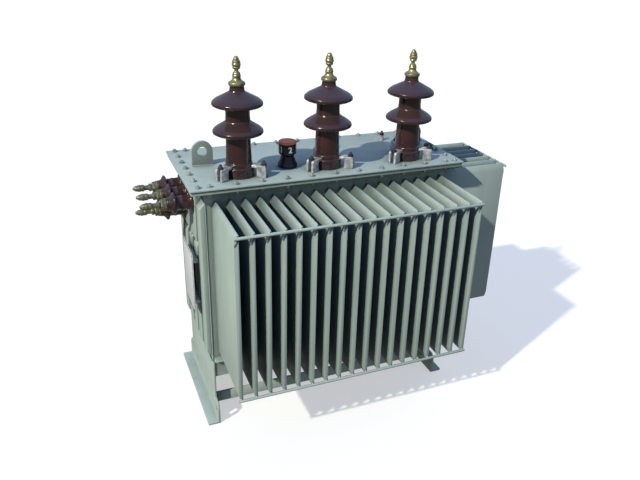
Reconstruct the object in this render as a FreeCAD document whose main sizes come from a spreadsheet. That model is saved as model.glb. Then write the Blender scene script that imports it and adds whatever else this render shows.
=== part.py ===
import FreeCAD, Part
import os
import re
import Sketcher

# Sealed three-phase distribution transformer with a finned steel tank.
# Millimetres, +Z up. X runs along the tank, the low-voltage end is -X and the front is -Y.
# The origin is on the floor, at the middle of the whole object's box.

doc = FreeCAD.newDocument("Transformer")
sizes = doc.addObject("Spreadsheet::Sheet", "Sizes")

DIMENSIONS = [
    # tank box and its cover
    ("tank_length", 816), ("tank_width", 326), ("tank_tall", 589), ("tank_bottom", 222),
    ("wall_thick", 4), ("floor_thick", 6), ("rim_thick", 12), ("rim_inset", 4),
    ("cover_over_end", 48), ("cover_over_side", 33.5), ("cover_thick", 6),
    # deep cooling fins: one folded fin has its pressed ridge flush with its right face
    ("fin_thick", 13.5), ("fin_ridge", 4), ("fin_drop", 32), ("fin_slope", 22), ("fin_rise", 11),
    ("fin_tip_left", 5.5), ("fin_tip_right", 1.5), ("fin_foot_left", 24), ("fin_foot_right", 8),
    ("front_count", 18), ("front_pitch", 45), ("front_depth", 255),
    ("back_depth", 180), ("right_count", 7), ("right_pitch", 43), ("right_depth", 264),
    # round bars welded across the fins' outer edges
    ("bar_radius", 4.5), ("bar_drop", 8), ("bar_rise", 7), ("bar_overhang", 1),
    # shallow ribs pressed in the low-voltage end wall
    ("rib_width", 42), ("rib_depth", 19), ("rib_pitch", 72), ("rib_bevel", 22), ("rib_gap", 4),
    # feet: a bent plate under each end, with two slots in its web
    ("foot_over", 54), ("foot_flange", 33), ("foot_thick", 8), ("web_out", 4), ("web_over", 12),
    ("web_low", 78), ("web_nose", 58), ("web_nose_run", 12),
    ("slot_wide", 14), ("slot_tall", 30), ("slot_low", 35), ("slot_back", 63), ("slot_inset", 18),
    # cross bars between the feet, and the beams with a sloped ledge beside the tank
    ("cross_inset", 13), ("cross_thick", 8), ("cross_low", 37), ("cross_tall", 38),
    ("bearer_step", 19), ("bearer_tall", 64), ("bearer_thick", 8), ("ledge_rise", 9), ("ledge_edge", 4),
    # high-voltage bushings on the cover: heights are above the cover
    ("hv_spacing", 286), ("hv_place", 101), ("hv_collar", 46), ("hv_collar_tall", 30),
    ("hv_step", 5), ("hv_ring_top", 43), ("hv_foot", 39), ("hv_waist", 36), ("hv_shed", 75.5),
    ("hv_lip", 4), ("hv_rim", 9), ("hv_shoulder_in", 8.5), ("hv_shoulder_rise", 19),
    ("hv_shed_low", 130), ("hv_rise_low", 39.5), ("hv_shed_high", 213), ("hv_rise_high", 45),
    ("hv_neck", 21), ("hv_porcelain_tall", 272),
    # the brass post on a high-voltage bushing, with a domed brim that covers the porcelain
    ("hv_brim", 24.5), ("hv_brim_edge", 3), ("hv_brim_tall", 10), ("hv_dome_tall", 18),
    ("hv_flange", 13), ("hv_flange_tall", 30), ("hv_cone", 9.3), ("hv_cone_tall", 37),
    ("hv_stud", 6), ("hv_post", 13), ("hv_post_long", 37), ("hv_post_bevel", 8),
    ("hv_post_end", 5), ("hv_tip", 355),
    # clamps that hold a bushing's collar down
    ("clamp_wide", 28), ("clamp_inner", 11), ("clamp_outer", 40), ("clamp_tall", 38),
    ("clamp_bevel", 4), ("clamp_gap", 0.3), ("clamp_slot_wide", 12), ("clamp_slot_deep", 16),
    # low-voltage bushings on the end wall: distances out are from the mounting plate
    ("lv_spacing", 78.7), ("lv_drop", 60), ("lv_low_drop", 137), ("lv_low_place", 66),
    ("lv_plate_out", 22), ("lv_plate_gap", 8), ("lv_plate_drop", 14), ("lv_plate_tall", 165),
    ("lv_ring", 34), ("lv_ring_thick", 8), ("lv_ring_slope", 3), ("lv_body", 22),
    ("lv_shed", 33.5), ("lv_shed_out", 55), ("lv_shed_under", 8), ("lv_rim", 4),
    ("lv_shed_over", 14), ("lv_shoulder", 20), ("lv_head", 17), ("lv_porcelain_long", 78),
    # the brass post on a low-voltage bushing
    ("lv_flange", 19), ("lv_flange_thick", 5), ("lv_nut", 14), ("lv_nut_in", 8), ("lv_nut_out", 18),
    ("lv_nut_bevel", 4), ("lv_stud", 8), ("lv_post", 11), ("lv_post_long", 31),
    ("lv_post_bevel", 7), ("lv_post_neck", 5), ("lv_post_end", 5), ("lv_long", 155),
    # lifting lugs
    ("lug_width", 66), ("lug_thick", 12), ("lug_eye_height", 46), ("lug_eye", 15),
    ("lug_inset", 36), ("lug_side", 20),
    # tap changer
    ("tap_x", 120), ("tap_y", 66), ("tap_foot", 31), ("tap_foot_edge", 8), ("tap_foot_bevel", 4),
    ("tap_waist", 21), ("tap_base_tall", 37), ("tap_gap", 5), ("tap_drum", 28), ("tap_drum_tall", 34),
    ("tap_cap_tall", 8), ("tap_cap_bevel", 2), ("tap_stem", 9), ("tap_stem_tall", 66),
    ("tap_clearance", 0.3), ("tap_pin", 2.5), ("tap_pin_reach", 37),
    # small fittings on the cover
    ("pocket_x", 297), ("pocket_y", 104), ("pocket_radius", 6.5), ("pocket_tall", 19),
    ("pocket_cap", 8), ("pocket_lip", 1.5), ("pocket_knob", 3.5),
    ("filler_edge", 48), ("filler_y", 40), ("filler_radius", 15), ("filler_tall", 22),
    ("filler_flange", 4), ("filler_flange_tall", 6), ("filler_bevel", 5),
    # nameplate on two strips in front of the end ribs
    ("plate_width", 150), ("plate_tall", 212), ("plate_thick", 2), ("plate_rise", 156),
    ("plate_centre", 42), ("plate_standoff", 18), ("strip_tall", 12), ("strip_inset", 16),
]
for line, (name, number) in enumerate(DIMENSIONS, 1):
    sizes.set("A%d" % line, name)
    sizes.set("B%d" % line, str(number))
    sizes.setAlias("B%d" % line, name)
doc.recompute()

# Places that many pieces share, as expressions of the sheet's sizes.
HALF_LENGTH = "(tank_length / 2)"
HALF_WIDTH = "(tank_width / 2)"
TANK_TOP = "(tank_bottom + tank_tall)"
COVER_TOP = "(tank_bottom + tank_tall + rim_thick + cover_thick)"
FIN_TOP = "(tank_bottom + tank_tall - fin_drop)"
FIN_BOTTOM = "(tank_bottom + fin_rise)"
LV_PLATE_LOW = "(tank_bottom + tank_tall - lv_plate_drop - lv_plate_tall)"
WEB_OUTSIDE = "(-tank_length / 2 - web_out)"

# The two ends and the two sides reach out differently from the tank, so the whole
# model is moved along X and Y until the origin is in the middle.
MIDDLE_X = "(lv_plate_out + lv_long - right_depth - 2 * bar_radius) / 2"
MIDDLE_Y = "(front_depth - back_depth) / 2"
NAMES = re.compile(r"\b(%s)\b" % "|".join(name for name, _ in DIMENSIONS))


def bound(text):
    """Write an expression's size names as references to the sheet."""
    return NAMES.sub(r"Sizes.\1", str(text))


def value(text):
    """The number that an expression has with the present sizes."""
    return float(sizes.evalExpression(str(text)))


def put(piece, x="0", y="0", z="0"):
    """Place a sub-part in the tank's frame, with the shift to the middle."""
    piece.setExpression("Placement.Base.x", bound("%s + %s" % (x, MIDDLE_X)))
    piece.setExpression("Placement.Base.y", bound("%s + %s" % (y, MIDDLE_Y)))
    piece.setExpression("Placement.Base.z", bound(z))
    return piece


def turn(piece, axis, degrees):
    piece.Placement = FreeCAD.Placement(FreeCAD.Vector(), FreeCAD.Rotation(FreeCAD.Vector(*axis), degrees))
    return piece


def box(name, length, width, height, x, y, z):
    piece = doc.addObject("Part::Box", name)
    piece.setExpression("Length", bound(length))
    piece.setExpression("Width", bound(width))
    piece.setExpression("Height", bound(height))
    return put(piece, x, y, z)


def cylinder(name, radius, height, x, y, z, axis, degrees):
    piece = doc.addObject("Part::Cylinder", name)
    piece.setExpression("Radius", bound(radius))
    piece.setExpression("Height", bound(height))
    return put(turn(piece, axis, degrees), x, y, z)


def fuse(name, pieces):
    whole = doc.addObject("Part::MultiFuse", name)
    whole.Shapes = pieces
    return whole


def cut(name, base, tool):
    whole = doc.addObject("Part::Cut", name)
    whole.Base = base
    whole.Tool = tool
    return whole


def new_body(name):
    return doc.addObject("PartDesign::Body", name)


def new_sketch(body, name, plane, offset="0"):
    """An empty sketch on one of the body's planes, moved out along the plane's normal."""
    sketch = body.newObject("Sketcher::SketchObject", name)
    role = plane + "_Plane"
    sketch.AttachmentSupport = [(next(f for f in body.Origin.OriginFeatures if f.Role == role), "")]
    sketch.MapMode = "FlatFace"
    sketch.setExpression("AttachmentOffset.Base.z", bound(offset))
    return sketch


def hold(sketch, constraint, text):
    """Add a constraint and bind its value to an expression of the sheet."""
    index = sketch.addConstraint(constraint)
    sketch.setExpression("Constraints[%d]" % index, bound(text))


def outline(body, plane, points, offset="0"):
    """A closed sketch of straight lines; each corner is held by two bound distances."""
    sketch = new_sketch(body, body.Name + "_Outline", plane, offset)
    corners = [FreeCAD.Vector(value(u), value(v), 0) for u, v in points]
    count = len(corners)
    for i in range(count):
        sketch.addGeometry(Part.LineSegment(corners[i], corners[(i + 1) % count]), False)
    for i in range(count):
        sketch.addConstraint(Sketcher.Constraint("Coincident", i, 2, (i + 1) % count, 1))
    for i, (u, v) in enumerate(points):
        hold(sketch, Sketcher.Constraint("DistanceX", -1, 1, i, 1, corners[i].x), u)
        hold(sketch, Sketcher.Constraint("DistanceY", -1, 1, i, 1, corners[i].y), v)
    return sketch


def rectangle(body, plane, near, far, low, high, offset="0"):
    return outline(body, plane, [(near, low), (far, low), (far, high), (near, high)], offset)


def pad(body, sketch, length, midplane=False):
    feature = body.newObject("PartDesign::Pad", sketch.Name + "_Pad")
    feature.Profile = sketch
    feature.Midplane = midplane
    feature.setExpression("Length", bound(length))
    return feature


def pocket(body, sketch, length):
    """Cut through the sketch's plane, the same distance on both of its sides."""
    feature = body.newObject("PartDesign::Pocket", sketch.Name + "_Pocket")
    feature.Profile = sketch
    feature.Midplane = True
    feature.setExpression("Length", bound(length))
    return feature


def repeat(body, feature, sketch, direction, pitch, count):
    """Repeat a feature in a straight row along one of its sketch's axes."""
    pattern = body.newObject("PartDesign::LinearPattern", feature.Name + "_Row")
    pattern.Originals = [feature]
    pattern.Direction = (sketch, [direction])
    pattern.setExpression("Length", bound("(%s - 1) * %s" % (count, pitch)))
    pattern.setExpression("Occurrences", bound(count))
    body.Tip = pattern
    return pattern


def turned(name, points):
    """A round piece: a half outline of (radius, height) corners revolved about Z."""
    body = new_body(name)
    sketch = outline(body, "XZ", points)
    feature = body.newObject("PartDesign::Revolution", name + "_Turn")
    feature.Profile = sketch
    feature.ReferenceAxis = (sketch, ["V_Axis"])
    feature.Angle = 360
    return body


parts = []


def keep(piece, label):
    piece.Label = label
    parts.append(piece)
    return piece


# ---------------------------------------------------------------- tank shell

def tank_shell():
    wide_inside = "tank_width - 2 * wall_thick"
    for side, y in (("front", "-" + HALF_WIDTH), ("back", HALF_WIDTH + " - wall_thick")):
        keep(box("Wall_" + side, "tank_length", "wall_thick", "tank_tall",
                 "-" + HALF_LENGTH, y, "tank_bottom"), "tank_wall_" + side)
    for side, x in (("left", "-" + HALF_LENGTH), ("right", HALF_LENGTH + " - wall_thick")):
        keep(box("Wall_" + side, "wall_thick", wide_inside, "tank_tall",
                 x, "-%s + wall_thick" % HALF_WIDTH, "tank_bottom"), "tank_wall_" + side)
    keep(box("Floor", "tank_length", "tank_width", "floor_thick",
             "-" + HALF_LENGTH, "-" + HALF_WIDTH, "tank_bottom - floor_thick"), "tank_floor")
    cover_size = ("tank_length + 2 * cover_over_end", "tank_width + 2 * cover_over_side")
    cover_corner = ("-%s - cover_over_end" % HALF_LENGTH, "-%s - cover_over_side" % HALF_WIDTH)
    rim = box("Rim_plate", cover_size[0] + " - 2 * rim_inset", cover_size[1] + " - 2 * rim_inset",
              "rim_thick", cover_corner[0] + " + rim_inset", cover_corner[1] + " + rim_inset", TANK_TOP)
    mouth = box("Rim_mouth", "tank_length - 2 * wall_thick", wide_inside, "rim_thick",
                "-%s + wall_thick" % HALF_LENGTH, "-%s + wall_thick" % HALF_WIDTH, TANK_TOP)
    keep(cut("Rim", rim, mouth), "tank_rim")
    keep(box("Cover", *cover_size, "cover_thick", *cover_corner, TANK_TOP + " + rim_thick"), "tank_cover")


# ---------------------------------------------------------------- fins, bars and ribs

def fin_pack(side, wall, count, pitch, depth, degrees):
    """A row of folded fins that starts on one wall, built as on the front and then turned."""
    body = new_body("Fins_" + side)
    right = "-(%s - 1) / 2 * %s + fin_thick / 2" % (count, pitch)
    shoulder = FIN_TOP + " - fin_slope"
    corners = [("-fin_tip_left", FIN_BOTTOM), ("-fin_tip_right", FIN_BOTTOM),
               ("0", FIN_BOTTOM + " + fin_foot_right"), ("0", FIN_TOP), ("-fin_ridge", FIN_TOP),
               ("-fin_thick", shoulder), ("-fin_thick", FIN_BOTTOM + " + fin_foot_left")]
    sketch = outline(body, "XZ", [("%s + %s" % (right, u), v) for u, v in corners], wall)
    repeat(body, pad(body, sketch, depth), sketch, "H_Axis", pitch, count)
    keep(put(turn(body, (0, 0, 1), degrees)), "fins_" + side)


def fin_bars(side, wall, count, pitch, depth, degrees, heights):
    """Round bars across the fins' outer ends, one at each of the given heights."""
    body = new_body("Bars_" + side)
    length = "(%s - 1) * %s + fin_thick + 2 * bar_overhang" % (count, pitch)
    out = "-(%s + %s + bar_radius)" % (wall, depth)
    for number, high in enumerate(heights):
        sketch = new_sketch(body, "Bar_%s_%d" % (side, number), "YZ")
        centre = FreeCAD.Vector(value(out), value(high), 0)
        sketch.addGeometry(Part.Circle(centre, FreeCAD.Vector(0, 0, 1), value("bar_radius")), False)
        hold(sketch, Sketcher.Constraint("DistanceX", -1, 1, 0, 3, centre.x), out)
        hold(sketch, Sketcher.Constraint("DistanceY", -1, 1, 0, 3, centre.y), high)
        hold(sketch, Sketcher.Constraint("Radius", 0, value("bar_radius")), "bar_radius")
        pad(body, sketch, length, midplane=True)
    keep(put(turn(body, (0, 0, 1), degrees)), "fin_bars_" + side)


def cooling():
    """The right pack has no lower bar."""
    upper, lower = FIN_TOP + " - bar_drop", FIN_BOTTOM + " + bar_rise"
    front = (HALF_WIDTH, "front_count", "front_pitch", "front_depth", 0)
    back = (HALF_WIDTH, "front_count", "front_pitch", "back_depth", 180)
    right = (HALF_LENGTH, "right_count", "right_pitch", "right_depth", 90)
    for side, size, heights in (("front", front, (upper, lower)), ("back", back, (upper, lower)),
                                ("right", right, (upper,))):
        fin_pack(side, *size)
        fin_bars(side, *size, heights)


def end_ribs():
    """Five ribs on the low-voltage end; the three in the middle stop below the bushing plate."""
    body = new_body("Ribs_left")
    wall = "-" + HALF_LENGTH
    for top, first, pitch, count in ((FIN_TOP, "-2 * rib_pitch", "4 * rib_pitch", "2"),
                                     (LV_PLATE_LOW + " - rib_gap", "-rib_pitch", "rib_pitch", "3")):
        corners = [(wall, FIN_BOTTOM), (wall + " - rib_depth", FIN_BOTTOM + " + rib_bevel"),
                   (wall + " - rib_depth", top + " - rib_bevel"), (wall, top)]
        sketch = outline(body, "XZ", corners, first + " - rib_width / 2")
        repeat(body, pad(body, sketch, "rib_width"), sketch, "N_Axis", pitch, count)
    keep(put(body), "ribs_left")


# ---------------------------------------------------------------- base

def foot(name, label, degrees):
    """A bent plate: a flange on the floor and a web that carries the tank's end."""
    body = new_body(name)
    half = "(%s + foot_over)" % HALF_WIDTH
    tall = "(%s + web_over)" % HALF_WIDTH
    under = "tank_bottom - floor_thick"
    web = [("-" + half, "0"), (half, "0"), (half, "web_nose"), (half + " - web_nose_run", "web_low"),
           (tall, "web_low"), (tall, under), ("-" + tall, under), ("-" + tall, "web_low"),
           ("-%s + web_nose_run" % half, "web_low"), ("-" + half, "web_nose")]
    pad(body, outline(body, "YZ", web, WEB_OUTSIDE), "foot_thick")
    flange = rectangle(body, "YZ", "-" + half, half, "0", "foot_thick", WEB_OUTSIDE + " - foot_flange")
    pad(body, flange, "foot_flange")
    for middle in (HALF_WIDTH + " - slot_back", "slot_inset - " + half):
        slot = rectangle(body, "YZ", middle + " - slot_wide / 2", middle + " + slot_wide / 2",
                         "slot_low", "slot_low + slot_tall", WEB_OUTSIDE)
        pocket(body, slot, "3 * foot_thick")
    keep(put(turn(body, (0, 0, 1), degrees)), label)


def base():
    foot("Foot_left", "base_left", 0)
    foot("Foot_right", "base_right", 180)
    length = "tank_length + 2 * (web_out - foot_thick)"
    bars = new_body("Cross_bars")
    bearers = new_body("Bearers")
    beam = [("0", "tank_bottom + ledge_rise"), ("bearer_step", "tank_bottom"),
            ("bearer_step", "tank_bottom - ledge_edge"), ("bearer_thick", "tank_bottom - ledge_edge"),
            ("bearer_thick", "tank_bottom - bearer_tall"), ("0", "tank_bottom - bearer_tall")]
    for side in ("-", ""):
        near = "%s(%s - cross_inset)" % (side, HALF_WIDTH)
        far = "%s(%s - cross_inset - cross_thick)" % (side, HALF_WIDTH)
        bar = rectangle(bars, "YZ", near, far, "cross_low", "cross_low + cross_tall")
        pad(bars, bar, length, midplane=True)
        corners = [("%s(%s + %s)" % (side, HALF_WIDTH, u), v) for u, v in beam]
        pad(bearers, outline(bearers, "YZ", corners), length, midplane=True)
    keep(put(bars), "base_cross_bars")
    keep(put(bearers), "base_bearers")


# ---------------------------------------------------------------- high-voltage bushings

def shed(low, inner_below, inner_above, rise):
    """Corners of one umbrella shed, from its underside up to where it meets the body."""
    return [(inner_below, low), ("hv_shed - hv_lip", low), ("hv_shed", low + " + hv_lip"),
            ("hv_shed", low + " + hv_rim"), ("hv_shed - hv_shoulder_in", low + " + hv_shoulder_rise"),
            (inner_above, low + " + " + rise)]


def clamps(number):
    """Three slotted blocks around a bushing; the toe of each rests on the collar's step."""
    body = new_body("Hv_clamps_%d" % number)
    back, outside = "hv_collar + clamp_inner", "hv_collar + clamp_outer"
    toe, under = "hv_collar - hv_step + clamp_gap", "hv_collar_tall + clamp_gap"
    corners = [(back, "0"), (outside, "0"), (outside, "clamp_tall - clamp_bevel"),
               (outside + " - clamp_bevel", "clamp_tall"), (toe, "clamp_tall"), (toe, under), (back, under)]
    sketch = outline(body, "YZ", corners)
    block = pad(body, sketch, "clamp_wide", midplane=True)
    mouth = outline(body, "XY", [("-clamp_slot_wide / 2", outside + " - clamp_slot_deep"),
                                 ("clamp_slot_wide / 2", outside + " - clamp_slot_deep"),
                                 ("clamp_slot_wide / 2", outside), ("-clamp_slot_wide / 2", outside)])
    slot = pocket(body, mouth, "3 * clamp_tall")
    ring = body.newObject("PartDesign::PolarPattern", "Clamp_ring_%d" % number)
    ring.Originals = [block, slot]
    ring.Axis = (sketch, ["V_Axis"])
    ring.Angle = 360
    ring.Occurrences = 3
    body.Tip = ring
    return body


def high_voltage():
    ring = "hv_collar - hv_step"
    porcelain = [("0", "0"), ("hv_collar", "0"), ("hv_collar", "hv_collar_tall"),
                 (ring, "hv_collar_tall"), (ring, "hv_ring_top"), ("hv_foot", "hv_ring_top"),
                 *shed("hv_shed_low", "hv_waist", "hv_waist", "hv_rise_low"),
                 *shed("hv_shed_high", "hv_waist", "hv_neck", "hv_rise_high"),
                 ("hv_neck", "hv_porcelain_tall"), ("0", "hv_porcelain_tall")]
    seat = "hv_porcelain_tall"
    under_post = "hv_tip - hv_post_long"
    brass = [("0", seat), ("hv_brim - hv_brim_edge", seat), ("hv_brim", seat + " + hv_brim_edge"),
             ("hv_brim", seat + " + hv_brim_tall"), ("hv_flange", seat + " + hv_dome_tall"),
             ("hv_flange", seat + " + hv_flange_tall"),
             ("hv_cone", seat + " + hv_cone_tall"), ("hv_stud", seat + " + hv_cone_tall"),
             ("hv_stud", under_post), ("hv_post", under_post), ("hv_post", "hv_tip - hv_post_bevel"),
             ("hv_post_end", "hv_tip"), ("0", "hv_tip")]
    for number in (1, 2, 3):
        at = ("(%d) * hv_spacing" % (number - 2), "-hv_place", COVER_TOP)
        keep(put(turned("Hv_bushing_%d" % number, porcelain), *at), "hv_bushing_%d" % number)
        keep(put(turned("Hv_terminal_%d" % number, brass), *at), "hv_terminal_%d" % number)
        keep(put(clamps(number), *at), "hv_clamps_%d" % number)


# ---------------------------------------------------------------- low-voltage bushings

def low_voltage():
    width = "(4 * rib_pitch - rib_width - 2 * lv_plate_gap)"
    face = "-%s - lv_plate_out" % HALF_LENGTH
    keep(box("Lv_plate", "lv_plate_out", width, "lv_plate_tall",
             face, "-%s / 2" % width, LV_PLATE_LOW), "lv_mount_plate")
    porcelain = [("0", "0"), ("lv_ring", "0"), ("lv_ring", "lv_ring_thick"),
                 ("lv_body", "lv_ring_thick + lv_ring_slope"), ("lv_body", "lv_shed_out - lv_shed_under"),
                 ("lv_shed", "lv_shed_out - lv_rim / 2"), ("lv_shed", "lv_shed_out + lv_rim / 2"),
                 ("lv_shoulder", "lv_shed_out + lv_shed_over"), ("lv_head", "lv_porcelain_long"),
                 ("0", "lv_porcelain_long")]
    seat = "lv_porcelain_long"
    post = "lv_long - lv_post_long"
    brass = [("0", seat), ("lv_flange", seat), ("lv_flange", seat + " + lv_flange_thick"),
             ("lv_nut", seat + " + lv_nut_in"), ("lv_nut", seat + " + lv_nut_out"),
             ("lv_stud", seat + " + lv_nut_out + lv_nut_bevel"), ("lv_stud", post + " - lv_post_neck"),
             ("lv_post", post), ("lv_post", "lv_long - lv_post_bevel"),
             ("lv_post_end", "lv_long"), ("0", "lv_long")]
    upper, lower = TANK_TOP + " - lv_drop", TANK_TOP + " - lv_low_drop"
    places = [("lv_spacing", upper), ("0", upper), ("-lv_spacing", upper), ("lv_low_place", lower)]
    for number, (y, z) in enumerate(places, 1):
        for kind, corners in (("bushing", porcelain), ("terminal", brass)):
            piece = turned("Lv_%s_%d" % (kind, number), corners)
            keep(put(turn(piece, (0, 1, 0), -90), face, y, z), "lv_%s_%d" % (kind, number))


# ---------------------------------------------------------------- fittings

def lifting_lug(side, sign):
    """A plate with a half-round head, standing on the cover along X, with a round eye."""
    name = "Lug_" + side
    x = "%s(%s - lug_inset)" % (sign, HALF_LENGTH)
    plate = box(name + "_plate", "lug_width", "lug_thick", "lug_eye_height",
                x + " - lug_width / 2", "lug_side - lug_thick / 2", COVER_TOP)
    centre = (x, "lug_side + lug_thick / 2", COVER_TOP + " + lug_eye_height")
    head = cylinder(name + "_head", "lug_width / 2", "lug_thick", *centre, axis=(1, 0, 0), degrees=90)
    eye = cylinder(name + "_eye", "lug_eye", "lug_thick", *centre, axis=(1, 0, 0), degrees=90)
    keep(cut(name, fuse(name + "_blank", [plate, head]), eye), "lifting_lug_" + side)


def tap_changer():
    """A fixed foot with a stem, and a numbered drum with a cap that turns on the stem."""
    at = ("-tap_x", "-tap_y", COVER_TOP)
    foot_corners = [("0", "0"), ("tap_foot", "0"), ("tap_foot", "tap_foot_edge"),
                    ("tap_foot - tap_foot_bevel", "tap_foot_edge + tap_foot_bevel"),
                    ("tap_waist", "tap_base_tall - tap_foot_edge"), ("tap_waist", "tap_base_tall"),
                    ("tap_stem", "tap_base_tall"), ("tap_stem", "tap_stem_tall"), ("0", "tap_stem_tall")]
    keep(put(turned("Tap_base", foot_corners), *at), "tap_base")
    low = "tap_base_tall + tap_gap"
    high = low + " + tap_drum_tall"
    bore, bore_top = "tap_stem + tap_clearance", "tap_stem_tall + tap_clearance"
    drum_corners = [(bore, low), ("tap_drum", low), ("tap_drum", high), ("0", high),
                    ("0", bore_top), (bore, bore_top)]
    keep(put(turned("Tap_drum", drum_corners), *at), "tap_drum")
    cap_top = high + " + tap_cap_tall"
    cap_corners = [("0", high), ("tap_drum", high), ("tap_drum", cap_top + " - tap_cap_bevel"),
                   ("tap_drum - tap_cap_bevel", cap_top), ("0", cap_top)]
    disc = put(turned("Tap_cap_disc", cap_corners), *at)
    pin_height = "%s + %s + tap_cap_tall / 2" % (COVER_TOP, high)
    pin = cylinder("Tap_pin", "tap_pin", "2 * tap_pin_reach", "-tap_x - tap_pin_reach", "-tap_y",
                   pin_height, axis=(0, 1, 0), degrees=90)
    keep(fuse("Tap_cap", [disc, pin]), "tap_cap")


def small_fittings():
    lip, cap_top = "pocket_radius + pocket_lip", "pocket_tall + pocket_cap"
    pocket_corners = [("0", "0"), ("pocket_radius", "0"), ("pocket_radius", "pocket_tall"),
                      (lip, "pocket_tall"), (lip, cap_top), ("pocket_knob", cap_top),
                      ("pocket_knob", cap_top + " + pocket_cap"), ("0", cap_top + " + pocket_cap")]
    keep(put(turned("Pocket", pocket_corners), "pocket_x", "pocket_y", COVER_TOP), "thermometer_pocket")
    flange = "filler_radius + filler_flange"
    filler_corners = [("0", "0"), (flange, "0"), (flange, "filler_flange_tall"),
                      ("filler_radius", "filler_flange_tall"),
                      ("filler_radius", "filler_tall - filler_bevel"),
                      ("filler_radius - filler_bevel", "filler_tall"), ("0", "filler_tall")]
    filler_x = HALF_LENGTH + " + cover_over_end - filler_edge"
    keep(put(turned("Filler", filler_corners), filler_x, "-filler_y", COVER_TOP), "filler_plug")


def nameplate():
    """A thin plate on two strips that rest on the end ribs."""
    face = "-%s - rib_depth - plate_standoff" % HALF_LENGTH
    edge = "-plate_centre - plate_width / 2"
    low = "tank_bottom + plate_rise"
    pieces = [box("Plate_sheet", "plate_thick", "plate_width", "plate_tall",
                  face + " - plate_thick", edge, low)]
    strips = (("Low", low + " + plate_tall / 8"), ("High", low + " + plate_tall * 7 / 8 - strip_tall"))
    for name, strip_low in strips:
        pieces.append(box("Plate_strip_" + name, "plate_standoff", "plate_width - 2 * strip_inset",
                          "strip_tall", face, edge + " + strip_inset", strip_low))
    keep(fuse("Nameplate", pieces), "nameplate")


# ---------------------------------------------------------------- build, check and write

tank_shell()
cooling()
end_ribs()
base()
high_voltage()
low_voltage()
lifting_lug("left", "-")
lifting_lug("right", "")
tap_changer()
small_fittings()
nameplate()
doc.recompute()

faults = [item.Name for item in doc.Objects if {"Invalid", "Error"} & set(item.State)]
faults += [piece.Label for piece in parts if piece.Shape.isNull() or not piece.Shape.isValid()]
if faults:
    raise RuntimeError("these did not build: " + ", ".join(faults))

os.makedirs("parts", exist_ok=True)
for piece in parts:
    piece.Shape.exportStep("parts/%s.step" % piece.Label)
print("%d sub-parts written" % len(parts))
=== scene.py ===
import math
import random

import bmesh
import bpy
from mathutils import Matrix, Vector


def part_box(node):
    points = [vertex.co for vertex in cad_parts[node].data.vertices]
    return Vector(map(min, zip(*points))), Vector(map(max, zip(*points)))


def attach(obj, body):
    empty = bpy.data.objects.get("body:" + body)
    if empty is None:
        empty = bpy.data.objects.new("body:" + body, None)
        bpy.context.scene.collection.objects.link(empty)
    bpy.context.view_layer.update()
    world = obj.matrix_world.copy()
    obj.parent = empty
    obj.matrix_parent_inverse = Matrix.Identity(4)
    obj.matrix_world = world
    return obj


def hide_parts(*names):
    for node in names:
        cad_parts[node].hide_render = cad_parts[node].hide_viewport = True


# Looks of a sealed three-phase transformer: painted steel, glazed porcelain, brass posts,
# cast clamps, bolts, welds and the numbered tap knob. Metres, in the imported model's frame;
# profiles are written in millimetres and scaled by MM.

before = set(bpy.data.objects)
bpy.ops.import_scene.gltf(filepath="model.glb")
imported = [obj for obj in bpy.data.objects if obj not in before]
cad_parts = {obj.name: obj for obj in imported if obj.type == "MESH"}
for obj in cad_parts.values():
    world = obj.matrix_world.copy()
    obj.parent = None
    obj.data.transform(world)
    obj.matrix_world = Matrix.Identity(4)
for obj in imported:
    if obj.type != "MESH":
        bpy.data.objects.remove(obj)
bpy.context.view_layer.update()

MM = 0.001
TANK = "transformer"
KNOB = "tap_selector"


# ---------------------------------------------------------------- places read from the frame

def standing_place(node):
    """The frame at the foot of a round node that stands upright."""
    low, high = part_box(node)
    return Matrix.Translation(((low.x + high.x) / 2, (low.y + high.y) / 2, low.z))


def leftward_place(node):
    """The frame at the root of a round node that points along -X."""
    low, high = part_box(node)
    root = Matrix.Translation((high.x, (low.y + high.y) / 2, (low.z + high.z) / 2))
    return root @ Matrix.Rotation(math.radians(-90), 4, "Y")


COVER_LOW, COVER_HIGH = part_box("tank_cover")
RIM_LOW, RIM_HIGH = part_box("tank_rim")
COVER_TOP = COVER_HIGH.z
WALL_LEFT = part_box("tank_wall_left")[0].x
WALL_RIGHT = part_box("tank_wall_right")[1].x
WALL_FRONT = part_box("tank_wall_front")[0].y
WALL_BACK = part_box("tank_wall_back")[1].y
WALL_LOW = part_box("tank_wall_back")[0].z

# Sizes in millimetres of what the frame's boxes don't tell.
FIN_COUNTS = {"front": 18, "back": 18, "right": 7}
FIN_THICK = 13.5
BAR_RADIUS = 4.5
CREASE_TOP = 12.5
CREASE_FOOT = 33
CREASE_RADIUS = 1.5
SEAM_WELD = 2.6
LUG_WELD = 3.2
GASKET_RADIUS = 1.2
WASHER_THICK = 1.6
BOLT_SIDE_INSET = 18
BOLT_END_INSET = 26
BOLT_CORNER_GAP = 34
LONG_ROW_BOLTS = 11
END_ROW_BOLTS = 7
CLAMP_RING = 76
STUD_RADIUS = 4.6
STUD_TALL = 39
STUD_NUT_SEAT = 38.2
STEM_RADIUS = 9
DRUM_RADIUS = 28
NUMBER_TALL = 25
NUMBER_MIDDLE = 59
POSITION_STEP = math.radians(60)
PIN_RADIUS = 3.2
PIN_REACH = 36
PIN_MIDDLE = 77.9

FLOOR_RADIUS = 45  # metres


# ---------------------------------------------------------------- finishes

def start_finish(name, constants):
    """A material whose unvarying values sit on its shader's own sockets."""
    finish = bpy.data.materials.new(name)
    finish.use_nodes = True
    shader = finish.node_tree.nodes["Principled BSDF"]
    for socket, number in constants.items():
        shader.inputs[socket].default_value = number
    return finish, finish.node_tree, shader


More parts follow.
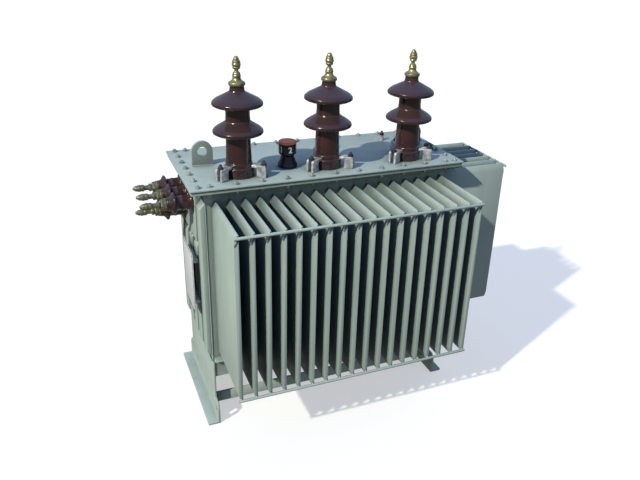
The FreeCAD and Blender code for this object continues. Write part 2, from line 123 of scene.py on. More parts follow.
def noise(tree, scale, detail=3.0, stretch=(1, 1, 1)):
    """Cloudy noise over the object's own coordinates, in cycles per metre."""
    place = tree.nodes.new("ShaderNodeTexCoord")
    mapping = tree.nodes.new("ShaderNodeMapping")
    mapping.inputs["Scale"].default_value = stretch
    cloud = tree.nodes.new("ShaderNodeTexNoise")
    cloud.inputs["Scale"].default_value = scale
    cloud.inputs["Detail"].default_value = detail
    tree.links.new(place.outputs["Object"], mapping.inputs["Vector"])
    tree.links.new(mapping.outputs["Vector"], cloud.inputs["Vector"])
    return cloud.outputs["Fac"]


def between(tree, source, low, high, out_low=0.0, out_high=1.0):
    """Stretch the part of a pattern between two values, and clamp the rest."""
    spread = tree.nodes.new("ShaderNodeMapRange")
    spread.inputs["From Min"].default_value = low
    spread.inputs["From Max"].default_value = high
    spread.inputs["To Min"].default_value = out_low
    spread.inputs["To Max"].default_value = out_high
    tree.links.new(source, spread.inputs["Value"])
    return spread.outputs["Result"]


def where_both(tree, first, second):
    """High only where both patterns are high: their product."""
    product = tree.nodes.new("ShaderNodeMath")
    product.operation = "MULTIPLY"
    tree.links.new(first, product.inputs[0])
    tree.links.new(second, product.inputs[1])
    return product.outputs["Value"]


def tint(tree, share, first, second):
    """Go from the first colour to the second one where the share is high."""
    mix = tree.nodes.new("ShaderNodeMix")
    mix.data_type = "RGBA"
    tree.links.new(share, mix.inputs["Factor"])
    for socket, colour in ((mix.inputs["A"], first), (mix.inputs["B"], second)):
        if isinstance(colour, tuple):
            socket.default_value = (*colour, 1)
        else:
            tree.links.new(colour, socket)
    return mix.outputs["Result"]


def raised(tree, shader, heights, depth_mm, strength=1.0):
    """Bump the surface by a pattern of heights, in millimetres."""
    bump = tree.nodes.new("ShaderNodeBump")
    bump.inputs["Strength"].default_value = strength
    bump.inputs["Distance"].default_value = depth_mm * MM
    tree.links.new(heights, bump.inputs["Height"])
    tree.links.new(bump.outputs["Normal"], shader.inputs["Normal"])


def facing_up(tree):
    """How much a surface looks at the sky, from 0 on walls to 1 on flat tops."""
    surface = tree.nodes.new("ShaderNodeNewGeometry")
    split = tree.nodes.new("ShaderNodeSeparateXYZ")
    tree.links.new(surface.outputs["Normal"], split.inputs["Vector"])
    return split.outputs["Z"]


def open_to_air(tree, reach_mm):
    """How open a spot is, from 0 deep in a gap between fins to 1 out in the open; it sets where shade
    is painted.
    """
    occlusion = tree.nodes.new("ShaderNodeAmbientOcclusion")
    occlusion.samples = 8
    occlusion.inputs["Distance"].default_value = reach_mm * MM
    return occlusion.outputs["AO"]


def height_of(tree):
    """Height above the ground, in metres."""
    place = tree.nodes.new("ShaderNodeTexCoord")
    split = tree.nodes.new("ShaderNodeSeparateXYZ")
    tree.links.new(place.outputs["Object"], split.inputs["Vector"])
    return split.outputs["Z"]


def painted_steel(name, pale, deep, rust_share=0.0):
    """Grey-green machine enamel with faint runs, dust and a painted sky tint on top faces, dirt low
    down and painted shade in gaps.
    """
    finish, tree, shader = start_finish(name, {"Specular IOR Level": 0.5})
    cloud = between(tree, noise(tree, 3.5, 4), 0.35, 0.68)
    colour = tint(tree, cloud, pale, deep)
    runs = between(tree, noise(tree, 26, 3, (1, 1, 0.05)), 0.52, 0.8, 0, 0.45)
    colour = tint(tree, runs, colour, tuple(part * 0.82 for part in deep))
    # Top faces get a patchy bluish tint: partly dust, partly a painted sky reflection.
    dust_and_sky_tint = between(tree, facing_up(tree), 0.6, 1.0)
    dust_and_sky_patches = between(tree, noise(tree, 14, 5), 0.3, 0.75, 0.15, 0.6)
    colour = tint(tree, where_both(tree, dust_and_sky_tint, dust_and_sky_patches), colour, (0.305, 0.385, 0.39))
    low_down = between(tree, height_of(tree), 0.24, 0.02)
    splash = between(tree, noise(tree, 22, 5), 0.45, 0.8, 0, 0.3)
    colour = tint(tree, where_both(tree, low_down, splash), colour, (0.25, 0.26, 0.22))
    # Painted shade: spots deep in gaps and corners are darkened to a near-black green.
    painted_gap_shade = between(tree, open_to_air(tree, 170), 0.8, 0.3, 0, 0.75)
    colour = tint(tree, painted_gap_shade, colour, (0.05, 0.075, 0.07))
    if rust_share:
        spots = between(tree, noise(tree, 60, 6), 0.66, 0.72, 0, rust_share)
        colour = tint(tree, spots, colour, (0.16, 0.065, 0.03))
    tree.links.new(colour, shader.inputs["Base Color"])
    worn = noise(tree, 30, 4)
    tree.links.new(between(tree, worn, 0.3, 0.7, 0.32, 0.5), shader.inputs["Roughness"])
    raised(tree, shader, noise(tree, 420, 2), 0.12, 0.5)
    return finish


def glazed_porcelain():
    """Brown glaze over fired clay: very glossy, with pooled darker patches, pin specks and a painted
    sheen on upward faces.
    """
    finish, tree, shader = start_finish("brown_glaze", {
        "Specular IOR Level": 0.4, "Coat Weight": 0.7, "Coat Roughness": 0.08, "Coat IOR": 1.45})
    pooled = between(tree, noise(tree, 16, 3), 0.35, 0.7)
    colour = tint(tree, pooled, (0.042, 0.0160, 0.0155), (0.026, 0.0105, 0.0120))
    # Painted sheen: upward faces are tinted lighter, as if catching the sky.
    painted_sky_sheen = between(tree, facing_up(tree), 0.25, 0.85, 0, 0.75)
    colour = tint(tree, painted_sky_sheen, colour, (0.050, 0.029, 0.027))
    specks = between(tree, noise(tree, 900, 2), 0.68, 0.74, 0, 0.6)
    colour = tint(tree, specks, colour, (0.015, 0.007, 0.007))
    tree.links.new(colour, shader.inputs["Base Color"])
    tree.links.new(between(tree, pooled, 0, 1, 0.16, 0.3), shader.inputs["Roughness"])
    raised(tree, shader, noise(tree, 55, 2), 0.25, 0.35)
    return finish


def weathered_brass(name, pale, dark):
    """Yellow brass dulled to olive in the open, tarnished in uneven patches with darker stains."""
    finish, tree, shader = start_finish(name, {"Metallic": 0.7})
    tarnish = between(tree, noise(tree, 95, 4), 0.35, 0.68)
    colour = tint(tree, tarnish, pale, dark)
    stain = between(tree, noise(tree, 260, 3), 0.6, 0.75, 0, 0.7)
    colour = tint(tree, stain, colour, (0.10, 0.10, 0.05))
    tree.links.new(colour, shader.inputs["Base Color"])
    tree.links.new(between(tree, tarnish, 0, 1, 0.3, 0.52), shader.inputs["Roughness"])
    raised(tree, shader, noise(tree, 500, 3), 0.15, 0.5)
    return finish


def plated_metal(name, pale, dark, metallic, smooth, grain=420):
    """Zinc-plated or cast light metal with a fine grain and dull patches."""
    finish, tree, shader = start_finish(name, {"Metallic": metallic})
    patches = between(tree, noise(tree, 70, 4), 0.38, 0.66)
    tree.links.new(tint(tree, patches, pale, dark), shader.inputs["Base Color"])
    tree.links.new(between(tree, patches, 0, 1, smooth, smooth + 0.2), shader.inputs["Roughness"])
    raised(tree, shader, noise(tree, grain, 3), 0.2, 0.5)
    return finish


def moulded_plastic(name, pale, dark, smooth):
    """Moulded plastic with a fine spark-eroded grain and sun-bleached patches."""
    finish, tree, shader = start_finish(name, {"Specular IOR Level": 0.5})
    bleached = between(tree, noise(tree, 45, 4), 0.35, 0.7)
    tree.links.new(tint(tree, bleached, dark, pale), shader.inputs["Base Color"])
    tree.links.new(between(tree, bleached, 0, 1, smooth, smooth + 0.15), shader.inputs["Roughness"])
    raised(tree, shader, noise(tree, 1500, 2), 0.08, 0.5)
    return finish


def brushed_plate():
    """Thin aluminium plate, brushed along its width."""
    finish, tree, shader = start_finish("brushed_plate", {"Metallic": 0.35})
    brushing = noise(tree, 60, 3, (1, 1, 30))
    colour = tint(tree, brushing, (0.82, 0.83, 0.83), (0.68, 0.70, 0.71))
    tree.links.new(colour, shader.inputs["Base Color"])
    tree.links.new(between(tree, brushing, 0.3, 0.7, 0.35, 0.5), shader.inputs["Roughness"])
    raised(tree, shader, brushing, 0.05, 0.4)
    return finish


PAINT = painted_steel("grey_green_enamel", (0.37, 0.44, 0.395), (0.325, 0.395, 0.355))
BASE_PAINT = painted_steel("base_enamel", (0.36, 0.43, 0.385), (0.32, 0.385, 0.345), rust_share=0.5)
WELD = painted_steel("painted_weld", (0.42, 0.48, 0.44), (0.34, 0.39, 0.36), rust_share=0.2)
# Near-black enamel for the crease beads: painted shade along each fin's folded end.
CREASE_SHADE = painted_steel("crease_shade_enamel", (0.085, 0.11, 0.10), (0.055, 0.07, 0.066))
GLAZE = glazed_porcelain()
BRASS = weathered_brass("weathered_brass", (0.45, 0.415, 0.21), (0.17, 0.155, 0.075))
DULL_BRASS = weathered_brass("dull_brass", (0.34, 0.32, 0.20), (0.11, 0.105, 0.065))
CAST = plated_metal("cast_clamp_metal", (0.62, 0.63, 0.63), (0.27, 0.275, 0.28), 0.5, 0.34)
ZINC = plated_metal("zinc_plate", (0.47, 0.51, 0.50), (0.23, 0.255, 0.25), 0.5, 0.30)
DARK_STEEL = plated_metal("dark_steel", (0.13, 0.135, 0.14), (0.05, 0.052, 0.056), 0.8, 0.35)
RUBBER = moulded_plastic("dark_rubber", (0.035, 0.037, 0.037), (0.018, 0.019, 0.02), 0.6)
BLACK = moulded_plastic("black_moulding", (0.022, 0.023, 0.026), (0.010, 0.010, 0.012), 0.2)
ORANGE = moulded_plastic("orange_moulding", (0.95, 0.26, 0.11), (0.80, 0.19, 0.08), 0.45)
WHITE = moulded_plastic("white_filling", (0.80, 0.82, 0.82), (0.68, 0.70, 0.70), 0.4)
PLATE = brushed_plate()


# ---------------------------------------------------------------- making a piece

def finish_piece(name, work, finish, body=TANK, stands_for=(), sharp=32, closed=True):
    """Turn the working mesh into a named piece that rides on its body."""
    if closed:
        bmesh.ops.remove_doubles(work, verts=work.verts, dist=0.005 * MM)
        bmesh.ops.recalc_face_normals(work, faces=work.faces)
    mesh = bpy.data.meshes.new(name)
    work.to_mesh(mesh)
    work.free()
    mesh.shade_smooth()
    mesh.set_sharp_from_angle(angle=math.radians(sharp))
    mesh.materials.append(finish)
    piece = bpy.data.objects.new(name, mesh)
    bpy.context.scene.collection.objects.link(piece)
    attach(piece, body)
    if stands_for:
        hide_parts(*stands_for)


def set_finish(node, finish):
    """Give a CAD node that keeps its shape a better material."""
    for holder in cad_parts[node].material_slots:
        holder.material = finish


def rounded(corners, steps=5):
    """The outline's points; a corner with a third number becomes an arc of that radius."""
    points = []
    for index, (across, up, *radius) in enumerate(corners):
        corner = Vector((across, up))
        if not radius:
            points.append(corner)
            continue
        before = (Vector(corners[index - 1][:2]) - corner).normalized()
        after = (Vector(corners[index + 1][:2]) - corner).normalized()
        half = before.angle(after) / 2
        reach = radius[0] / math.tan(half)
        centre = corner + (before + after).normalized() * (radius[0] / math.sin(half))
        start = corner + before * reach - centre
        end = corner + after * reach - centre
        for step in range(steps + 1):
            spoke = start.lerp(end, step / steps)
            points.append(centre + spoke.normalized() * radius[0])
    return points


def turn_profile(work, corners, place, segments=72, steps=5):
    """Spin a half outline of (radius, height) in millimetres about its own upright axis."""
    ring = [work.verts.new((point.x * MM, 0, point.y * MM)) for point in rounded(corners, steps)]
    line = [work.edges.new(pair) for pair in zip(ring, ring[1:])]
    before = set(work.verts) - set(ring)
    bmesh.ops.spin(work, geom=ring + line, axis=(0, 0, 1), cent=(0, 0, 0), angle=math.tau,
                   steps=segments, use_merge=True, use_duplicate=False)
    made = [vert for vert in work.verts if vert not in before]
    bmesh.ops.remove_doubles(work, verts=made, dist=0.001 * MM)
    made = [vert for vert in work.verts if vert not in before]
    bmesh.ops.transform(work, matrix=place, verts=made)


def add_drum(work, radius, low, high, place, segments=24, top_radius=None, ease=0.0):
    """A closed round or many-sided drum between two heights, with its top edge eased."""
    depth = (high - low) * MM
    top = radius if top_radius is None else top_radius
    shift = place @ Matrix.Translation((0, 0, low * MM + depth / 2))
    made = bmesh.ops.create_cone(work, cap_ends=True, segments=segments, radius1=radius * MM,
                                 radius2=top * MM, depth=depth, matrix=shift)["verts"]
    if ease:
        caps = {face for vert in made for face in vert.link_faces if len(face.verts) == segments}
        rims = list({edge for face in caps for edge in face.edges})
        bmesh.ops.bevel(work, geom=rims, offset=ease * MM, segments=2, profile=0.5, material=-1,
                        affect="EDGES")


def hex_radius(across_flats):
    """The corner radius of a nut that a spanner of this size fits."""
    return across_flats / math.sqrt(3)


def add_bolt(work, place, across=12, washer=8, head=5.5, thread=3.6, stub=3):
    """A washer, a six-sided nut and the end of its thread, standing on a surface."""
    nut_top = WASHER_THICK + head
    add_drum(work, washer, 0, WASHER_THICK, place, ease=0.4)
    add_drum(work, hex_radius(across), WASHER_THICK, nut_top, place, segments=6, ease=0.7)
    add_drum(work, thread, nut_top, nut_top + stub, place, segments=14, top_radius=thread - 0.8)


def add_bead(work, start, end, radius, sides=6, wobble=0.0):
    """A straight run of weld: a thin bar with slightly uneven rings along it."""
    along = end - start
    rings = max(2, int(along.length / (radius * 2.2 * MM))) if wobble else 2
    facing = along.to_track_quat("Z", "Y").to_matrix().to_4x4()
    place = Matrix.Translation(start) @ facing
    made = bmesh.ops.create_circle(work, cap_ends=True, segments=sides, radius=radius * MM,
                                   matrix=place)["verts"]
    last = list({face for vert in made for face in vert.link_faces})
    for ring in range(1, rings):
        step = along / (rings - 1)
        grown = bmesh.ops.extrude_face_region(work, geom=last)["geom"]
        verts = [item for item in grown if isinstance(item, bmesh.types.BMVert)]
        bmesh.ops.translate(work, vec=step, verts=verts)
        if wobble:
            swell = 1 + wobble * (1 if ring % 2 else -1) * random.uniform(0.5, 1)
            from_centre = Matrix.Translation(start + step * ring).inverted()
            bmesh.ops.scale(work, vec=Vector((swell, swell, swell)), verts=verts, space=from_centre)
        if ring > 1:
            bmesh.ops.delete(work, geom=last, context="FACES_ONLY")
        last = [item for item in grown if isinstance(item, bmesh.types.BMFace)]


def eased_copy(node, radius, finish, segments=2, angle=25):
    """Stand in for a plate-work node: the same shape, with its sharp edges eased."""
    work = bmesh.new()
    work.from_mesh(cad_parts[node].data)
    bmesh.ops.remove_doubles(work, verts=work.verts, dist=0.02 * MM)
    bmesh.ops.dissolve_limit(work, angle_limit=math.radians(1), verts=work.verts, edges=work.edges)
    sharp = [edge for edge in work.edges
             if len(edge.link_faces) == 2 and edge.calc_face_angle() > math.radians(angle)]
    bmesh.ops.bevel(work, geom=sharp, offset=radius * MM, segments=segments, profile=0.5, material=-1,
                    affect="EDGES", clamp_overlap=True)
    finish_piece("eased_" + node, work, finish, stands_for=(node,), closed=False)


# ---------------------------------------------------------------- tank, fins and base

def tank_shell():
    """Painted walls and floor, an eased cover and rim, and the gasket that shows between them."""
    for part in ("wall_front", "wall_back", "wall_left", "wall_right", "floor"):
        set_finish("tank_" + part, PAINT)
    eased_copy("tank_cover", 1.2, PAINT)
    eased_copy("tank_rim", 1.0, PAINT)
    work = bmesh.new()
    for axis in (0, 1):
        for edge in (RIM_LOW, RIM_HIGH):
            start, end = Vector(RIM_LOW), Vector(RIM_HIGH)
            start.z = end.z = COVER_LOW.z - 1.6 * MM
            start[axis] = end[axis] = edge[axis]
            add_bead(work, start, end, GASKET_RADIUS, sides=8)
    finish_piece("cover_gasket", work, RUBBER)


def fin_packs():
    """The deep fins with their round bars, the shallow ribs, and the plate of the side bushings."""
    for side in FIN_COUNTS:
        eased_copy("fins_" + side, 0.6, PAINT)
        eased_copy("fin_bars_" + side, 0.8, PAINT, angle=50)
    eased_copy("ribs_left", 4, PAINT, segments=3)
    eased_copy("lv_mount_plate", 2, PAINT)


def fin_places(side):
    """For each fin of a pack: the outer end's left and right corner at the fin's top."""
    count = FIN_COUNTS[side]
    low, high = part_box("fins_" + side)
    along = 1 if side == "right" else 0
    out = {"front": low.y, "back": high.y, "right": high.x}[side]
    pitch = (high[along] - low[along] - FIN_THICK * MM) / (count - 1)
    places = []
    for number in range(count):
        start = low[along] + number * pitch
        if side == "front":
            corners = ((start, out), (start + FIN_THICK * MM, out))
        elif side == "back":
            corners = ((start + FIN_THICK * MM, out), (start, out))
        else:
            corners = ((out, start), (out, start + FIN_THICK * MM))
        places.append([Vector((*corner, high.z)) for corner in corners])
    return places


def fin_details():
    """On each fin's outer end: a dark bead of painted shade down the folded seam's crease, and the
    welds of the round bars.
    """
    for side in FIN_COUNTS:
        crease_shade = bmesh.new()
        welds = bmesh.new()
        bars_low, bars_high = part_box("fin_bars_" + side)
        rows = [bars_high.z - BAR_RADIUS * MM]
        if side != "right":
            rows.append(bars_low.z + BAR_RADIUS * MM)
        for left, right in fin_places(side):
            outward = (right - left).cross(Vector((0, 0, 1))).normalized()
            high = right + Vector((0, 0, -CREASE_TOP * MM)) + outward * 0.2 * MM
            low = left + Vector((0, 0, -CREASE_FOOT * MM)) + outward * 0.2 * MM
            # Painted shade: a dark bead down the crease stands in for the shadow in it.
            add_bead(crease_shade, high.lerp(low, 0.03), low.lerp(high, 0.03), CREASE_RADIUS)
            for row in rows:
                middle = (left + right) / 2 + outward * 1.2 * MM
                spot = Matrix.Translation((middle.x, middle.y, row + BAR_RADIUS * MM))
                size = random.uniform(2.6, 3.4) * MM
                flat = Matrix.Diagonal((1.25, 1.25, 0.8, 1))
                bmesh.ops.create_icosphere(welds, subdivisions=2, radius=size, matrix=spot @ flat)
        finish_piece("fin_crease_shade_" + side, crease_shade, CREASE_SHADE)
        finish_piece("bar_welds_" + side, welds, WELD)


def wall_welds():
    """Vertical runs at the tank's corners, and runs along its foot at both ends."""
    low, high = WALL_LOW, RIM_LOW.z - 1 * MM
    work = bmesh.new()
    for x in (WALL_LEFT, WALL_RIGHT):
        for y in (WALL_FRONT, WALL_BACK):
            add_bead(work, Vector((x, y, low)), Vector((x, y, high)), SEAM_WELD, wobble=0.14)
    inset = 4 * MM
    for node, x in (("base_left", WALL_LEFT - inset), ("base_right", WALL_RIGHT + inset)):
        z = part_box(node)[1].z
        start, end = Vector((x, WALL_FRONT + inset, z)), Vector((x, WALL_BACK - inset, z))
        add_bead(work, start, end, SEAM_WELD, wobble=0.14)
    finish_piece("tank_welds", work, WELD)


def base():
    """The two bent feet, with the bars between them and the bearers under the tank."""
    for node in ("base_left", "base_right"):
        eased_copy(node, 2.0, BASE_PAINT)
    for node in ("base_cross_bars", "base_bearers"):
        eased_copy(node, 1.2, BASE_PAINT)


# ---------------------------------------------------------------- bushings

HV_PROFILE = [
    (0, 0), (46, 0, 1.5), (46, 30, 4), (41, 31.5, 1), (41, 43, 3.5), (39, 44, 0.8), (38, 80),
    (36.5, 124), (42, 129, 4), (69, 130.5, 4), (75.5, 134, 4.5), (74.5, 142, 5), (66, 150, 14),
    (37, 168, 9), (35.6, 186), (36, 207), (42, 212, 4), (69, 213.5, 4), (75.5, 217, 4.5),
    (74.5, 225, 5), (66, 233, 14), (22.5, 256, 9), (20.8, 268, 2), (20.8, 272), (0, 272)]
HV_BRASS = [
    (0, 271.5), (21.5, 271.5), (24.5, 274.5, 2.5), (24.5, 281, 3), (19, 284.5, 2), (17.5, 285, 0.5),
    (13.2, 289.5, 1.5), (12, 292, 1), (11.4, 296, 1), (12.4, 298, 0.8), (12.4, 301, 0.8),
    (11.4, 303, 0.8), (11.2, 306.5, 1.5), (9.6, 309, 1), (6, 312.5, 1), (5.8, 317.5, 0.6),
    (10.6, 320, 1.2), (11.7, 323.5, 0.8), (10.6, 326, 0.5), (12.9, 329, 1), (12.9, 333.5, 1.2),
    (11, 336, 0.5), (12, 338.5, 1), (10.8, 343, 1), (8.4, 344.6, 0.4), (8.2, 348, 1),
    (5, 353, 2), (3, 355, 1), (0, 355)]
LV_PROFILE = [
    (0, 0), (34, 0, 1), (34, 8, 2.5), (23, 11, 2), (22, 24), (24, 30, 3), (22, 36), (22, 47, 4),
    (33.5, 52.6, 1.2), (33.5, 57.4, 2), (24, 64, 4), (20, 68, 2), (20, 77.6, 3), (0, 77.6)]
LV_BRASS = [
    (0, 77), (19, 77, 0.8), (19, 83, 1), (9, 84.5), (9, 96, 1), (12.5, 97, 0.8), (12.5, 104, 1),
    (8, 106, 1), (8, 118, 1), (10.6, 120, 1), (11, 127, 1.4), (9.2, 128.6, 0.5), (11, 130.4, 1),
    (11, 138, 2), (9, 139.6, 0.5), (9.6, 141, 1), (8, 148, 2), (5.6, 149.2, 0.4), (5, 153, 2),
    (2.5, 155, 1), (0, 155)]


def high_voltage():
    """Each tall bushing on the cover: the porcelain and the brass post on top of it."""
    for number in (1, 2, 3):
        place = standing_place("hv_bushing_%d" % number)
        work = bmesh.new()
        turn_profile(work, HV_PROFILE, place, segments=96, steps=6)
        finish_piece("porcelain_hv_%d" % number, work, GLAZE,
                     stands_for=("hv_bushing_%d" % number,))
        work = bmesh.new()
        turn_profile(work, HV_BRASS, place, segments=40, steps=3)
        finish_piece("brass_hv_%d" % number, work, BRASS,
                     stands_for=("hv_terminal_%d" % number,))


def hv_clamps():
    """The slotted blocks, each with a stud in its slot and a nut that presses it down."""
    for number in (1, 2, 3):
        eased_copy("hv_clamps_%d" % number, 1.4, CAST)
        place = standing_place("hv_bushing_%d" % number)
        work = bmesh.new()
        for turn in (0, 120, 240):
            stud = place @ Matrix.Rotation(math.radians(turn), 4, "Z")
            stud = stud @ Matrix.Translation((0, CLAMP_RING * MM, 0))
            add_drum(work, STUD_RADIUS, 0, STUD_TALL, stud, segments=16)
            nut = stud @ Matrix.Translation((0, 0, STUD_NUT_SEAT * MM))
            add_bolt(work, nut, across=13, washer=9.5, thread=STUD_RADIUS, stub=6)
        finish_piece("clamp_studs_%d" % number, work, DARK_STEEL)


def low_voltage():
    """The four bushings of the left end, which lie on their sides, with a nut on each post."""
    for number in (1, 2, 3, 4):
        place = leftward_place("lv_bushing_%d" % number)
        work = bmesh.new()
        turn_profile(work, LV_PROFILE, place, segments=64)
        finish_piece("porcelain_lv_%d" % number, work, GLAZE,
                     stands_for=("lv_bushing_%d" % number,))
        work = bmesh.new()
        turn_profile(work, LV_BRASS, place, segments=36, steps=3)
        add_drum(work, hex_radius(30), 84, 94, place, segments=6, ease=0.9)
        finish_piece("brass_lv_%d" % number, work, DULL_BRASS,
                     stands_for=("lv_terminal_%d" % number,))


# ---------------------------------------------------------------- cover bolts

def spaced(low, high, count):
    """Places at even steps from one end to the other."""
    return [low + (high - low) * step / (count - 1) for step in range(count)]


def cover_bolts():
    """A ring of bolts round the cover, and the nuts on their ends under the rim."""
    left, right = COVER_LOW.x + BOLT_END_INSET * MM, COVER_HIGH.x - BOLT_END_INSET * MM
    near, far = COVER_LOW.y + BOLT_SIDE_INSET * MM, COVER_HIGH.y - BOLT_SIDE_INSET * MM
    row = spaced(left + BOLT_CORNER_GAP * MM, right - BOLT_CORNER_GAP * MM, LONG_ROW_BOLTS)
    places = [(x, y) for x in (left, right) for y in spaced(near, far, END_ROW_BOLTS)]
    places += [(x, y) for y in (near, far) for x in row]
    work = bmesh.new()
    for x, y in places:
        spin = Matrix.Rotation(random.uniform(0, math.tau), 4, "Z")
        add_bolt(work, Matrix.Translation((x, y, COVER_TOP)) @ spin)
    finish_piece("cover_bolts", work, ZINC)
    work = bmesh.new()
    for x, y in places:
        spin = Matrix.Rotation(random.uniform(0, math.tau), 4, "Z") @ Matrix.Rotation(math.pi, 4, "X")
        add_bolt(work, Matrix.Translation((x, y, RIM_LOW.z)) @ spin, washer=10, head=7)
    finish_piece("rim_nuts", work, ZINC)


# ---------------------------------------------------------------- tap changer and fittings

TAP_FOOT = [
    (0, 0), (31, 0, 0.8), (31, 9, 2), (28.5, 14.5, 2), (22.5, 30, 3), (21, 33, 1), (21, 36.6, 0.8),
    (0, 36.6)]
TAP_DRUM = [
    (0, 66.2), (9.4, 66.2), (9.4, 42), (26.2, 42, 0.6), (28, 44, 0.8), (28, 75.4, 0.8), (26.5, 76),
    (0, 76)]
TAP_CAP = [
    (0, 76), (27.8, 76, 0.6), (28, 82, 1.6), (25.6, 84, 1.2), (23.6, 82.4, 1), (20, 82, 1), (0, 81.4)]


def tap_changer():
    """A faceted foot, and on its stem the numbered drum with its cap and cross pin."""
    place = standing_place("tap_base")
    work = bmesh.new()
    turn_profile(work, TAP_FOOT, place, segments=14, steps=3)
    add_drum(work, STEM_RADIUS, 36, 66, place, segments=32)
    finish_piece("tap_foot", work, BLACK, stands_for=("tap_base",), sharp=14)
    work = bmesh.new()
    turn_profile(work, TAP_DRUM, place, segments=64, steps=3)
    finish_piece("tap_number_drum", work, BLACK, KNOB, ("tap_drum",))
    work = bmesh.new()
    turn_profile(work, TAP_CAP, place, segments=64, steps=4)
    finish_piece("tap_orange_cap", work, ORANGE, KNOB, ("tap_cap",))
    work = bmesh.new()
    level = place @ Matrix.Translation((0, 0, PIN_MIDDLE * MM))
    level = level @ Matrix.Rotation(math.radians(90), 4, "Y")
    add_drum(work, PIN_RADIUS, -PIN_REACH, PIN_REACH, level, segments=20, ease=0.8)
    finish_piece("tap_cross_pin", work, CAST, KNOB)
    tap_numbers(place)


def tap_numbers(place):
    """The position numbers 1 to 5, moulded in white round the drum, 60 degrees apart."""
    work = bmesh.new()
    for number in (1, 2, 3, 4, 5):
        words = bpy.data.curves.new("tap_number", "FONT")
        words.body = str(number)
        words.size = NUMBER_TALL * MM
        words.align_x = "CENTER"
        words.align_y = "CENTER"
        words.extrude = 0.6 * MM
        words.offset = 0.45 * MM
        holder = bpy.data.objects.new("tap_number", words)
        flat = bpy.data.meshes.new_from_object(holder)
        known = set(work.verts)
        work.from_mesh(flat)
        bpy.data.objects.remove(holder)
        around = (number - 2) * POSITION_STEP
        for vert in set(work.verts) - known:
            angle = around + vert.co.x / (DRUM_RADIUS * MM)
            reach = (DRUM_RADIUS + 0.1) * MM + vert.co.z
            vert.co = place @ Vector((math.sin(angle) * reach, -math.cos(angle) * reach,
                                      NUMBER_MIDDLE * MM + vert.co.y * 1.08))
    finish_piece("tap_numbers", work, WHITE, KNOB)


def lugs():
    """The lifting eyes with the runs of weld that hold them to the cover."""
    for side in ("left", "right"):
        node = "lifting_lug_" + side
        set_finish(node, PAINT)
        low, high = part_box(node)
        work = bmesh.new()
        for y in (low.y - 0.6 * MM, high.y + 0.6 * MM):
            start, end = Vector((low.x, y, COVER_TOP)), Vector((high.x, y, COVER_TOP))
            add_bead(work, start, end, LUG_WELD, wobble=0.16)
        finish_piece("lug_welds_" + side, work, WELD)


POCKET = [(0, 0), (9.5, 0, 0.4), (9.5, 3, 0.6), (7.4, 3.6), (7.4, 19, 0.3), (0, 19)]
POCKET_CAP = [(0, 18.8), (8, 18.8, 0.5), (8, 27, 1.6), (4, 28, 0.8), (3.5, 34.8, 1.2), (0, 34.8)]
FILLER = [
    (0, 0), (19, 0, 0.5), (19, 5.6, 1), (15.4, 6, 0.6), (15, 9), (16, 11, 0.6), (15, 13, 0.6),
    (15, 17, 1.5), (10, 21.6, 3), (0, 21.8)]


def small_fittings():
    """The pale pocket with its dark cap, and the filler plug."""
    place = standing_place("thermometer_pocket")
    work = bmesh.new()
    turn_profile(work, POCKET, place, segments=36, steps=3)
    add_drum(work, hex_radius(17), 3, 10, place, segments=6, ease=0.8)
    finish_piece("pocket_body", work, CAST, stands_for=("thermometer_pocket",))
    work = bmesh.new()
    turn_profile(work, POCKET_CAP, place, segments=36, steps=3)
    finish_piece("pocket_cap", work, BLACK)
    place = standing_place("filler_plug")
    work = bmesh.new()
    turn_profile(work, FILLER, place, segments=48, steps=3)
    add_drum(work, hex_radius(14), 20, 22, place, segments=6, ease=0.6)
    finish_piece("filler_cap", work, DARK_STEEL, stands_for=("filler_plug",))


def nameplate():
    """A blank brushed plate with a raised border and a rivet near each corner."""
    eased_copy("nameplate", 0.5, PLATE)
    low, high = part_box("nameplate")

    def corners(inset, out):
        near, far = low.y + inset * MM, high.y - inset * MM
        foot, top = low.z + inset * MM, high.z - inset * MM
        ring = ((near, foot), (far, foot), (far, top), (near, top))
        return [Vector((low.x - out * MM, y, z)) for y, z in ring]

    outward = Matrix.Rotation(math.radians(-90), 4, "Y")
    rivets = bmesh.new()
    for corner in corners(9, 0):
        spot = Matrix.Translation(corner) @ outward
        add_drum(rivets, 3.4, -0.5, 1.2, spot, segments=20, top_radius=2.2, ease=0.3)
    border = bmesh.new()
    edge = corners(3, 0.1)
    for start, end in zip(edge[-1:] + edge, edge):
        add_bead(border, start, end, 0.8)
    finish_piece("nameplate_rivets", rivets, ZINC)
    finish_piece("nameplate_border", border, DARK_STEEL)


# ---------------------------------------------------------------- light, floor and camera

def add_sun(name, travel, energy, spread, colour, glints=True):
    """A far light whose rays travel one way, spread by some degrees."""
    sun = bpy.data.lights.new(name, "SUN")
    sun.energy = energy
    sun.angle = math.radians(spread)
    sun.color = colour
    holder = bpy.data.objects.new(name, sun)
    holder.rotation_mode = "QUATERNION"
    holder.rotation_quaternion = Vector(travel).to_track_quat("-Z", "Y")
    holder.visible_glossy = glints
    bpy.context.scene.collection.objects.link(holder)


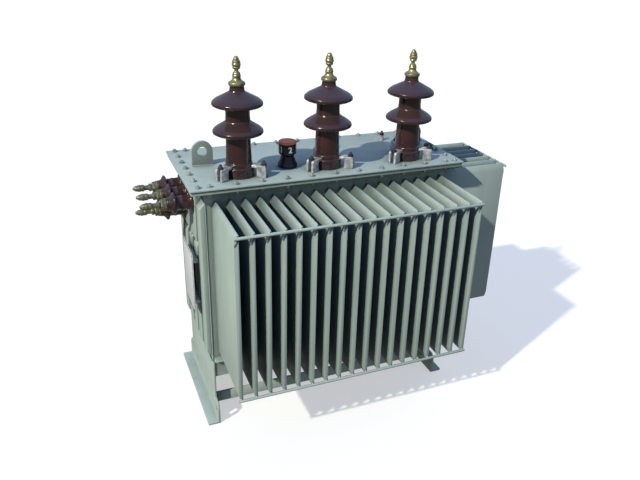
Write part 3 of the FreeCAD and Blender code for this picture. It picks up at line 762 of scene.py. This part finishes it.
def lights():
    """A hard key from the left front, a broad weak fill from behind, and a blue sky."""
    add_sun("key_light", (0.715, 0.325, -0.619), 4.3, 1.6, (1.0, 0.96, 0.84))
    add_sun("fill_light", (-0.66, -0.72, -0.21), 0.9, 60, (1.0, 0.97, 0.92), glints=False)
    world = bpy.data.worlds.new("soft_sky")
    bpy.context.scene.world = world
    world.use_nodes = True
    tree = world.node_tree
    sky = tree.nodes["Background"]
    place = tree.nodes.new("ShaderNodeTexCoord")
    split = tree.nodes.new("ShaderNodeSeparateXYZ")
    tree.links.new(place.outputs["Generated"], split.inputs["Vector"])
    rise = between(tree, split.outputs["Z"], 0.1, 0.75)
    above = tint(tree, rise, (0.31, 0.37, 0.39), (0.22, 0.39, 0.78))
    ground = between(tree, split.outputs["Z"], 0.02, -0.04)
    tree.links.new(tint(tree, ground, above, (0.21, 0.21, 0.20)), sky.inputs["Color"])
    sky.inputs["Strength"].default_value = 0.85


def stage_piece(name, work, finish):
    """A surface for the camera alone, which neither lights nor shades the object."""
    mesh = bpy.data.meshes.new(name)
    work.to_mesh(mesh)
    work.free()
    mesh.materials.append(finish)
    piece = bpy.data.objects.new(name, mesh)
    piece.visible_diffuse = False
    piece.visible_glossy = False
    piece.visible_shadow = False
    bpy.context.scene.collection.objects.link(piece)
    return piece


def floor():
    """A pale floor that takes the shadow; its bounce onto the steel is left to the world's ground."""
    work = bmesh.new()
    bmesh.ops.create_circle(work, cap_ends=True, segments=96, radius=FLOOR_RADIUS)
    finish, tree, shader = start_finish("pale_floor", {
        "Roughness": 0.9, "Specular IOR Level": 0.1, "Emission Color": (1, 1, 1, 1),
        "Emission Strength": 0.5})
    colour = tint(tree, noise(tree, 1.2), (0.50, 0.50, 0.50), (0.47, 0.47, 0.47))
    tree.links.new(colour, shader.inputs["Base Color"])
    plane = stage_piece("floor", work, finish)
    plane.location.z = -0.5 * MM


def backdrop():
    """A glowing wall round the floor's edge, for views from low down."""
    radius = FLOOR_RADIUS - 1
    work = bmesh.new()
    bmesh.ops.create_cone(work, cap_ends=False, segments=96, radius1=radius, radius2=radius, depth=60)
    finish = start_finish("pale_backdrop", {
        "Base Color": (0, 0, 0, 1), "Specular IOR Level": 0, "Emission Color": (1, 1, 1, 1),
        "Emission Strength": 1.0})[0]
    wall = stage_piece("backdrop", work, finish)


def camera():
    """Looks at the low-voltage end and the front from above, with a slight roll."""
    yaw, pitch, roll = math.radians(23.8), math.radians(24.7), math.radians(2.2)
    ahead = Vector((math.sin(yaw), math.cos(yaw), 0))
    forward = math.cos(pitch) * ahead - math.sin(pitch) * Vector((0, 0, 1))
    level = Vector((math.cos(yaw), -math.sin(yaw), 0))
    upright = level.cross(forward)
    side = math.cos(roll) * level + math.sin(roll) * upright
    up = -math.sin(roll) * level + math.cos(roll) * upright
    lens = bpy.data.cameras.new("camera")
    lens.lens = 37.3
    lens.shift_x = -0.0278
    lens.shift_y = -0.0119
    holder = bpy.data.objects.new("camera", lens)
    turn = Matrix((side, up, -forward)).transposed().to_4x4()
    holder.matrix_world = Matrix.Translation((-0.8214, -1.9270, 1.5235)) @ turn
    bpy.context.scene.collection.objects.link(holder)
    bpy.context.scene.camera = holder


random.seed(11)
tank_shell()
fin_packs()
fin_details()
wall_welds()
base()
high_voltage()
hv_clamps()
low_voltage()
cover_bolts()
tap_changer()
lugs()
small_fittings()
nameplate()
lights()
floor()
backdrop()
camera()
bpy.context.scene.view_settings.view_transform = "Standard"
